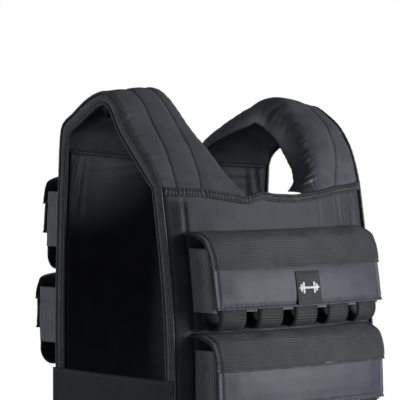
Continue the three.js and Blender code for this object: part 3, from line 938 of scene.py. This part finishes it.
    def build_padding(self) -> None:
        """Builds the padded strap with its lining side."""
        across, share = grid("strap")
        origin, thickness, down = self.through(across, share)
        neck = quarter_turn(np.clip(1 - across / 0.16, 0, 1))
        inset = neck[..., None] * thickness * 0.45
        top = (inset * 0.3 if self.tuck_in else inset) - self.upper_relief(across, share)[..., None]
        lower = (thickness - inset) + self.lower_relief(across, share)[..., None]
        lower = np.maximum(lower, top + np.minimum(3.0, (thickness - 1.0) * 0.3))
        curl = np.clip(1 - across / self.roll, 0, 1) ** 2
        outer, inner = origin + down * top, origin + down * lower
        drawn_in = self.side * self.tuck_in * curl * rise(share, 0.04, 0.14) * (1 - rise(share, 0.38, 0.52))
        outer[..., 0] += drawn_in
        inner[..., 0] += drawn_in
        Maker.padded(f"{self.name}_shoulder_strap", outer, inner, STRAP_NYLON)
        for column in SEAM_COLUMNS[1:]:
            self.build_seam(column)

    def build_seam(self, column: str) -> None:
        """Builds the dark line of one lengthwise seam, unless it is rolled out of sight.

        Args:
            column: The seam's column in the table of seams.
        """
        share = np.linspace(0.012, 0.988, 160)
        across = self.seam_at(column, share)
        if across.min() <= 0:
            return
        line, _, down = self.through(across, share)
        centres = line - down * (self.upper_relief(across, share)[:, None] + 0.15)
        cord = Maker.cord(f"{self.name}_strap_{column}_seam", centres, self.seam_cord, LINING_NYLON)
        Maker.settle(cord, STRAP_NYLON.slot)

    def edge_pairs(self) -> Array:
        """Corners of the padding's edge, outer and body side, from the front's lower end to the back's."""
        x = self.side * HALF_WIDTH
        shares = np.linspace(0, 1, 150)
        one = np.ones_like(shares)
        strap = np.stack([self.surface(one, shares, 0 * one), self.surface(one, shares, one)], 1)
        legs = []
        for panel in (FRONT, BACK):
            z = np.linspace(PANEL_BOTTOM, float(panel.top_of(x)), 90)[:-1]
            legs.append(np.stack([panel.on(x, z, 0.0), panel.on(x, z, -EDGE_PADDING)], 1))
        return np.concatenate([legs[0], strap, legs[1][::-1]])

    def build_edge(self) -> None:
        """Builds the mesh side wall and the two pipings."""
        pairs = self.edge_pairs()
        lengths = run_along(pairs[:, 0])
        wobble = 0.12 * np.sin(2 * math.pi * lengths / 9.0)
        for index, kind in enumerate(("outer", "inner")):
            centres = pairs[:, index] + np.array([self.side * (GAP + self.piping / 2), 0, 0])
            name = f"{self.name}_{kind}_piping"
            cord = Maker.cord(f"{name}_cord", centres, self.piping / 2 + wobble, PIPING_NYLON)
            Maker.settle(cord, PIPING_NYLON.slot, name)
        shares = np.linspace(0, 1, 11)
        inset = self.mesh_inset / np.linalg.norm(pairs[:, 1] - pairs[:, 0], axis=1)[:, None, None]
        middle = mix(pairs[:, :1], pairs[:, 1:], mix(inset, 1 - inset, shares[None, :, None]))
        puckers = 0.5 * Gathers(self.seed + 6, 8.0)(lengths[:, None], shares * 8)
        loose = self.loose_mesh * ridge(lengths[:, None], self.loose_place, 40)
        bulge = (self.mesh_bulge + puckers + loose) * (4 * shares * (1 - shares))
        away = GAP + self.mesh_wall + bulge
        outer = middle + np.stack([self.side * away, 0 * away, 0 * away], -1)
        inner = middle + np.array([self.side * GAP, 0, 0])
        held_by = [f"{self.name}_{kind}_piping_cord" for kind in ("outer", "inner")]
        Maker.sheet(f"{self.name}_side_mesh", outer, inner, SPACER_MESH, "stretched", *held_by)

    def build(self) -> None:
        """Builds the strap and its edge."""
        self.build_padding()
        self.build_edge()


# Columns out and down are shares of a row's depth and of a flap's drop; tucked is 1 under the flap
FLAP_PROFILE = ((0.01, 0, 0), (0.32, 0, 0), (0.74, 0.08, 0), (0.87, 0.2, 0), (0.95, 0.34, 0), (1, 0.48, 0))
BAND_PROFILE = ((0.975, 0.42, 1), (0.985, 0.49, 1), (0.93, 0.64, 0), (0.95, 0.84, 0), (0.99, 1, 0))


@dataclass(frozen=True)
class Laid:
    """A cloth laid plainly along a profile, in millimetres.

    For each point of its grid it holds the surface's place and direction, the place across, the share along,
    and the distance from the lower edge.
    """

    base: Array
    normal: Array
    x: Array
    share: Array
    edge: Array

    def surfaces(self, relief: Array, thin: float = FLAP_CLOTH) -> tuple[Array, Array]:
        """Folds the cloth.

        Args:
            relief: Height of its folds.
            thin: Its thickness at the lower edge.

        Returns:
            Its outer and its inner surface.
        """
        outer = self.base + self.normal * relief[..., None]
        return outer, outer - self.normal * mix(FLAP_CLOTH, thin, self.share)[..., None]


@dataclass(frozen=True)
class PocketRow:
    """One row of pockets: a ribbed flap with a smooth band, a pouch, and webbing slings, in millimetres.

    Seam is the height at which the flap is sewn on; drops, tops, the slings' hang and the pouch's seam count
    down from it. Half is half the row's width, and seam_half the same at the panel. Depth is how far the row
    stands off the panel at its ends, and flatten how much less it does in the middle.
    """

    name: str
    panel: PanelForm
    seam: float
    half: float
    flap_drop: float
    pouch_drop: float
    seam_half: float
    sling_pitch: float
    seed: int
    depth: float = 46.0
    flatten: float = 8.0
    sling_width: float = 40.0
    slings: int = 5
    sling_hang: float = 124.0
    sling_top: float = 78.0
    sling_round: float = 20.0
    pouch_top: float = 20.0
    pouch_seam: float = 41.0
    pouch_corner: float = 5.0
    rib_pitch: float = 3.0
    rib_height: float = 0.35

    def row_depth(self, x: Array) -> Array:
        """How far the row stands off the panel."""
        return self.depth - self.flatten * np.clip(1 - (x / self.half) ** 2, 0, None)

    def profile_out(self, out: Array, tucked: Array, x: Array) -> Array:
        """How far a point of a profile stands off the panel."""
        return out * self.row_depth(x) - tucked * (FLAP_CLOTH + 2 * GAP)

    def lay(self, kind: str, profile: tuple[tuple[float, ...], ...], halves: tuple[float, float]) -> Laid:
        """Lays a cloth along a profile.

        Args:
            kind: Which sheet it is.
            profile: Rows of out, down and tucked.
            halves: Half its width at the panel, and where it stands off most.

        Returns:
            The laid cloth.
        """
        across, share = grid(kind)
        numbers = along_curve(np.array(profile, float), share.ravel()).reshape(*share.shape, -1)
        out, down, tucked = np.moveaxis(numbers, -1, 0)
        half = mix(*halves, np.clip(out, 0, 1))
        x = mix(-half, half, across)
        base = self.panel.on(x, self.seam - down * self.flap_drop, self.profile_out(out, tucked, x))
        run = np.gradient(base, axis=0)
        run[..., 0] = 0
        run /= np.linalg.norm(run, axis=-1, keepdims=True) + 1e-9
        normal = np.stack([0 * x, -run[..., 2], run[..., 1]], -1)
        normal *= np.sign((normal * np.array([0, self.panel.side, 0.6])).sum(-1, keepdims=True))
        return Laid(base, normal, x, share, (1 - down) * self.flap_drop)

    def build_flap(self) -> None:
        """Builds the ribbed flap and its stitches."""
        dents, fine = Ripples(self.seed, 90, 0.6), Ripples(self.seed + 1, 34, 0.8)
        laid = self.lay("flap", FLAP_PROFILE, (self.seam_half, self.half))
        x, share = laid.x, laid.share
        side = np.clip(self.half + 3 - np.abs(x), 0, None)
        waves = (1.4 * dents(x, share * 60) + 0.5 * fine(x, share * 60)) * rise(share, 0.05, 0.3)
        stitch = -1.3 * ridge(side, 8, 2.0) - 1.0 * ridge(share, 0.935, 0.03)
        curl = -1.6 * (1 - rise(side, 0, 6)) ** 2
        press = -1.5 * rise(share, 0.6, 1.0)
        outer, inner = laid.surfaces(waves + stitch + curl + press, thin=1.0)
        name = f"{self.name}_flap"
        Maker.sheet(name, outer, inner, GROSGRAIN, "hung", f"{self.panel.name}_panel_cloth")
        ends = slice(4, -2)
        seams = [(outer[at], laid.normal[at]) for at in ((-3, slice(4, -4)), (ends, 5), (ends, -6))]
        Stitching().sew(f"{name}_stitching", GROSGRAIN.slot, seams)

    def build_band(self) -> None:
        """Builds the smooth band, puffed between its topstitched edges."""
        half = self.half - FLAP_CLOTH
        laid = self.lay("band", BAND_PROFILE, (half, half))
        x, edge = laid.x, laid.edge
        side = half - np.abs(x)
        seams = np.clip(ridge(edge, 4.6, 1.9) + ridge(side, 5.5, 1.9), 0, 1)
        pillow = 1.6 * rise(edge, 4.6, 22) * rise(side, 5.5, 34) * (1 - 0.4 * rise(edge, 36, 50))
        puckers = 0.55 * Gathers(self.seed + 3, 6.5)(x, edge) * (1 - rise(edge, 3, 13))
        puffed = (pillow + 0.5 * Ripples(self.seed + 2, 60, 0.8)(x, edge)) * rise(laid.share, 0.1, 0.35)
        outer, inner = laid.surfaces(puffed - 1.3 * seams + puckers)
        name = f"{self.name}_flap_band"
        Maker.sheet(name, outer, inner, LIT_BAND_NYLON, "hung", f"{self.name}_flap_cloth")
        ends = slice(11, -4)
        rows = [(outer[at], laid.normal[at]) for at in ((-6, slice(4, -4)), (ends, 4), (ends, -5))]
        Stitching().sew(f"{name}_stitching", LIT_BAND_NYLON.slot, rows)

    def pouch_out(self, x: Array) -> Array:
        """How far the pouch's outer face stands off the panel."""
        out, _, tucked = BAND_PROFILE[0]
        return self.profile_out(np.asarray(out), np.asarray(tucked), x) - FLAP_CLOTH - WEBBING - 3 * GAP

    def build_pouch(self) -> None:
        """Builds the pouch: a ribbed wall round three sides, open above and below."""
        corner = self.pouch_corner
        front = np.linspace(-self.half + corner, self.half - corner, 110)
        bend = np.linspace(0, math.pi / 2, 6)[1:-1]
        deep = float(self.pouch_out(np.array(self.half)))
        wall = np.linspace(GAP, deep - corner, 12)
        left_x = np.concatenate([np.full(len(wall), -self.half), -self.half + corner * (1 - np.cos(bend))])
        left_out = np.concatenate([wall, deep - corner * (1 - np.sin(bend))])
        x_line = np.concatenate([left_x, front, -left_x[::-1]])
        out_line = np.concatenate([left_out, self.pouch_out(front), left_out[::-1]])
        tangent = np.stack([np.gradient(x_line), np.gradient(out_line)])
        tangent /= np.linalg.norm(tangent, axis=0)
        drop = np.linspace(self.pouch_top, self.pouch_drop, 30)[:, None]
        place = run_along(np.stack([x_line, out_line], 1))
        slack = np.minimum(0.7 * Ripples(self.seed + 4, 45, 1.0)(place, drop), 0.35)
        seam = -1.3 * ridge(drop, self.pouch_seam, 2.6)
        lip = 0.1 * ridge(drop, self.pouch_top, 3.0)
        move = (slack + seam + lip) * rise(place, 0, 8) * rise(place[-1] - place, 0, 8)
        surfaces = []
        for off in (move, move - POUCH_CLOTH):
            out = np.clip(out_line + tangent[0] * off, GAP, None)
            surfaces.append(self.panel.on(x_line - tangent[1] * off, self.seam - drop, out))
        held_by = f"{self.panel.name}_panel_cloth"
        Maker.sheet(f"{self.name}_pouch", *surfaces, ELASTIC_KNIT, "stretched", held_by)

    def build_sling(self, index: int) -> None:
        """Builds one U-shaped webbing sling with modelled ribs: down the pouch, round under it, and up.

        Args:
            index: Its number in the row, from 0 on the right.
        """
        centre = (index - (self.slings - 1) / 2) * self.sling_pitch
        sway = Ripples(self.seed + 5, 40)
        hang = self.sling_hang + 1.2 * float(sway(np.array(centre), np.array(0.0)))
        round_top = self.seam - hang + self.sling_round
        leg = self.seam - self.sling_top - round_top
        x_share, share = grid("sling")
        x = centre + mix(-self.sling_width, self.sling_width, x_share) / 2
        front, back = self.pouch_out(x) + GAP + WEBBING, 3 * GAP
        bend = math.pi * (front - back) / 2
        s = share * (2 * leg + bend)
        first, last = s < leg, s > leg + bend
        angle = np.clip((s - leg) / bend, 0, 1) * math.pi
        middle, reach = (front + back) / 2, (front - back) / 2
        out = np.where(first, front, np.where(last, back, middle + reach * np.cos(angle)))
        rest = np.where(first, leg - s, s - leg - bend)
        z = np.where(first | last, round_top + rest, round_top - self.sling_round * np.sin(angle))
        normal_out = np.where(first, 1.0, np.where(last, -1.0, np.cos(angle)))
        normal_z = np.where(first | last, 0.0, -np.sin(angle))
        rib = self.rib_height * np.sin(2 * math.pi * s / self.rib_pitch)
        edge = -0.35 * (np.abs(2 * x_share - 1) ** 6)
        move = (rib * np.where(last, 0.4, 1.0) + edge) * rise(share, 0, 0.03) * rise(1 - share, 0, 0.03)
        x = x + 1.2 * float(sway(np.array(0.0), np.array(centre))) * np.sin(share * math.pi)
        outer = self.panel.on(x, z + normal_z * move, out + normal_out * move)
        inner = self.panel.on(x, z + normal_z * (move - WEBBING), out - normal_out * WEBBING)
        name = f"{self.name}_sling_{index + 1}"
        Maker.sheet(name, outer, inner, ELASTIC_WEBBING, "hung", f"{self.name}_pouch_cloth")

    def build(self) -> None:
        """Builds the row."""
        self.build_flap()
        self.build_band()
        self.build_pouch()
        for index in range(self.slings):
            self.build_sling(index)


# Blocks of the label's motif, in millimetres from its middle: name, place across, half width, half height
MOTIF = (
    ("bar", 0.0, 18.0, 1.4),
    ("plate_1", -13.6, 1.7, 4.6),
    ("plate_2", -9.4, 1.7, 7.2),
    ("plate_3", 9.4, 1.7, 7.2),
    ("plate_4", 13.6, 1.7, 4.6),
)


@dataclass(frozen=True)
class Label:
    """Woven patch with a plain barbell motif on a flap band, in millimetres.

    Off is how far its face stands off the band, and thread how far the motif's lower side does.
    """

    row: PocketRow
    width: float = 42.0
    top: float = 52.0
    bottom: float = 95.0
    thickness: float = 1.0
    off: float = 2.6
    thread: float = 2.7

    def place(self, x: Array, drop: Array, away: Array | float) -> Array:
        """Points that stand away from the band, at places across and drops from the row's seam."""
        down, profile = drop / self.row.flap_drop, np.array(BAND_PROFILE, float)
        out, tucked = (np.interp(down, profile[:, 1], profile[:, column]) for column in (0, 2))
        return self.row.panel.on(x, self.row.seam - drop, self.row.profile_out(out, tucked, x) + away)

    def build_cloth(self) -> None:
        """Builds the patch with its folded edge."""
        across, along = grid("label")
        x = mix(-self.width, self.width, across) / 2
        drop = mix(self.top, self.bottom, along)
        edge = np.minimum(self.width / 2 - np.abs(x), np.minimum(drop - self.top, self.bottom - drop))
        away = self.off + 0.5 * rise(edge, 0, 5) - 0.4 * ridge(edge, 1.8, 0.7)
        outer, inner = self.place(x, drop, away), self.place(x, drop, away - self.thickness)
        held_by = f"{self.row.name}_flap_band_cloth"
        Maker.sheet("label_patch", outer, inner, LABEL_CLOTH, "stretched", held_by)

    def build_block(self, name: str, centre: float, half: float, tall: float) -> None:
        """Builds one embroidered block of the motif.

        Args:
            name: Its name in the motif.
            centre: Its place across the label.
            half: Half its width.
            tall: Half its height.
        """
        middle = (self.top + self.bottom) / 2
        across, along = grid("motif")
        x = mix(centre - half, centre + half, across)
        drop = mix(middle - tall, middle + tall, along)
        outer = self.place(x, drop, self.thread + 0.45 + 0.45 * dome(across, 6) * dome(along, 6))
        piece = Maker.slab(f"label_motif_{name}", outer, self.place(x, drop, self.thread), LABEL_THREAD)
        Maker.settle(piece, LABEL_THREAD.slot)

    def build(self) -> None:
        """Builds the patch and its motif."""
        self.build_cloth()
        for row in MOTIF:
            self.build_block(*row)


@dataclass(frozen=True)
class SideStrap:
    """Plain webbing that joins the front to the back under an arm, in millimetres.

    Off is how far it stands off the padding's edge, over the piping; lap is how far it reaches along each
    panel, and bow how far its middle bulges.
    """

    name: str
    side: int
    width: float = 50.0
    height: float = -375.0
    off: float = 5.0
    lap: float = 26.0
    bow: float = 4.0
    rib_pitch: float = 3.0
    rib_height: float = 0.25

    def build(self) -> None:
        """Builds the strap with its ribs and the stitches at its ends."""
        x_edge = self.side * (HALF_WIDTH + self.off + 2 * GAP)
        front = -float(FRONT.face(self.side * HALF_WIDTH, self.height)) + EDGE_PADDING
        back = float(BACK.face(self.side * HALF_WIDTH, self.height)) - EDGE_PADDING
        across, along = grid("side_strap")
        y = mix(front - self.lap + PADDING / 2, back + self.lap - PADDING / 2, along)
        free = np.clip((y - front) / (back - front), 0, 1)
        bow = self.bow * 4 * free * (1 - free)
        z = self.height + mix(-self.width, self.width, across) / 2
        ribs = self.rib_height * np.sin(2 * math.pi * y / self.rib_pitch) * (1 - np.abs(2 * across - 1) ** 8)
        away = WEBBING + ribs - self.rib_height
        outer = np.stack([x_edge + self.side * (bow + away), y, z], -1)
        inner = np.stack([x_edge + self.side * bow, y, z], -1)
        name = f"{self.name}_side_strap"
        held_by = ("front_panel_cloth", "back_panel_cloth")
        Maker.sheet(name, outer, inner, ELASTIC_WEBBING, "stretched", *held_by)
        seams = [(outer[step, 1:-1], (self.side, 0, 0)) for step in (12, 30, -31, -13)]
        Stitching().sew(f"{name}_stitching", ELASTIC_WEBBING.slot, seams)


@dataclass(frozen=True)
class SoftBox:
    """A square soft light: its place, side and aim in metres, and its power in watts."""

    name: str
    place: tuple[float, float, float]
    size: float
    power: float
    aim: tuple[float, float, float] = (0.0, 0.0, -0.15)


@dataclass(frozen=True)
class Studio:
    """Camera, floor and soft lights, in metres.

    The camera looks at the front of the vest from its right, level with the crest of its straps. Azimuth and
    tilt are in degrees, the focal length and the picture in pixels, and the sensor in millimetres.
    """

    azimuth: float = -40.0
    distance: float = 3.6
    focal_pixels: float = 2675.0
    picture: float = 400.0
    sensor: float = 36.0
    beside: float = -0.014
    tilt: float = 2.035
    floor_height: float = -1.05
    floor_size: float = 60.0
    floor_shade: str = "#8a8a8a"
    surroundings: float = 0.07
    sky_tint: tuple[float, float, float, float] = (0.9, 0.93, 1.0, 1.0)
    lamp_tint: tuple[float, float, float] = (0.93, 0.95, 1.0)
    lights: tuple[SoftBox, ...] = (
        SoftBox("key_box", (1.5, -2.4, 0.0), 1.0, 84.0),
        SoftBox("fill_box", (-2.6, -1.5, -0.3), 1.4, 10.0),
        SoftBox("rim_box", (-1.8, 1.9, 0.1), 1.0, 14.0),
        SoftBox("top_box", (0.0, 0.2, 1.9), 1.2, 0.8),
    )

    def build_camera(self) -> None:
        """Places the camera."""
        turn = math.radians(self.azimuth)
        toward = Vector((-math.sin(turn), math.cos(turn), 0))
        right = Vector((toward.y, -toward.x, 0))
        data = bpy.data.cameras.new("camera")
        data.sensor_width = self.sensor
        data.lens = self.focal_pixels / self.picture * self.sensor
        data.clip_end = 200
        camera = add_object("camera", data)
        camera.location = right * self.beside - toward * self.distance
        tilt = math.radians(self.tilt)
        aim = toward * math.cos(tilt) + Vector((0, 0, -math.sin(tilt)))
        camera.rotation_euler = aim.to_track_quat("-Z", "Y").to_euler()
        bpy.context.scene.camera = camera

    @staticmethod
    def backdrop(tree: Tree, dim: Socket) -> Socket:
        """Makes a surface white where it is looked at, as a backdrop lit by itself is.

        Args:
            tree: The node tree of the floor or of the surroundings.
            dim: The shader that lights the vest.

        Returns:
            The shader of both.
        """
        white = add_node(tree, "ShaderNodeEmission", {"Color": (1, 1, 1, 1), "Strength": 1.0})
        path = add_node(tree, "ShaderNodeLightPath")
        both = add_node(tree, "ShaderNodeMixShader", links={"Fac": path.outputs["Is Camera Ray"]})
        tree.links.new(dim, both.inputs[1])
        tree.links.new(white.outputs["Emission"], both.inputs[2])
        return both.outputs["Shader"]

    def build_floor(self) -> None:
        """Lays a plain pale floor."""
        half = self.floor_size
        data = bpy.data.meshes.new("floor")
        corners = [(-half, -half), (half, -half), (half, half), (-half, half)]
        data.from_pydata([(x, y, self.floor_height) for x, y in corners], [], [(0, 1, 2, 3)])
        floor = add_object("floor", data)
        material = bpy.data.materials.new("floor_paint")
        material.use_nodes = True
        tree = material.node_tree
        paint = tree.nodes["Principled BSDF"]
        paint.inputs["Base Color"].default_value = linear(self.floor_shade)
        paint.inputs["Roughness"].default_value = 0.9
        surface = self.backdrop(tree, paint.outputs["BSDF"])
        tree.links.new(surface, tree.nodes["Material Output"].inputs["Surface"])
        data.materials.append(material)
        floor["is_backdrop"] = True

    def build_lights(self) -> None:
        """Sets the pale surroundings and the soft boxes."""
        scene = bpy.context.scene
        world = scene.world or bpy.data.worlds.new("studio")
        scene.world = world
        world.use_nodes = True
        tree = world.node_tree
        sky = tree.nodes["Background"]
        sky.inputs["Color"].default_value = self.sky_tint
        sky.inputs["Strength"].default_value = self.surroundings
        surface = self.backdrop(tree, sky.outputs["Background"])
        tree.links.new(surface, tree.nodes["World Output"].inputs["Surface"])
        scene.view_settings.view_transform = "Standard"
        for light in self.lights:
            data = bpy.data.lights.new(light.name, "AREA")
            data.size = light.size
            data.energy = light.power
            data.color = self.lamp_tint
            lamp = add_object(light.name, data)
            lamp.location = light.place
            aim = Vector(light.aim) - Vector(light.place)
            lamp.rotation_euler = aim.to_track_quat("-Z", "Y").to_euler()

    def build(self) -> None:
        """Builds the studio."""
        self.build_camera()
        self.build_floor()
        self.build_lights()


def corners() -> list[list[float]]:
    """The corners of what is built so far, as plain lists of numbers."""
    return [[float(value) for value in corner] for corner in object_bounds()]


def main() -> None:
    """Builds the vest on its frame."""
    logging.basicConfig(level=logging.INFO, format="%(name)s: %(message)s")
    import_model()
    Studio().build()
    Panel(FRONT, seed=11).build()
    Panel(BACK, seed=41).build()
    Strap("right", -1, RIGHT_SECTIONS, RIGHT_SEAMS, seed=71, roll=0.16, roll_drop=3.0,
          roll_folds=0.5).build()
    Strap("left", 1, LEFT_SECTIONS, LEFT_SEAMS, seed=91, roll=0.42, roll_drop=27.0, roll_folds=1.8,
          tuck_in=12.0, loose_mesh=4.5).build()
    front = {"panel": FRONT, "half": 150.0, "seam_half": 157.0, "flap_drop": 97.0, "pouch_drop": 101.0,
             "sling_pitch": 60.0}
    back = {"panel": BACK, "half": 170.0, "seam_half": 171.0, "flap_drop": 76.0, "pouch_drop": 94.0,
            "sling_pitch": 72.0}
    upper = PocketRow("front_upper", seam=-162.0, seed=111, **front)
    for row in (
        upper,
        PocketRow("front_lower", seam=-291.0, seed=131, **front),
        PocketRow("back_upper", seam=-96.0, seed=151, **back),
        PocketRow("back_lower", seam=-225.0, depth=60.0, seed=171, **back),
    ):
        row.build()
    Label(upper).build()
    for name, side in (("right", -1), ("left", 1)):
        SideStrap(name, side).build()


if __name__ == "__main__":
    main()
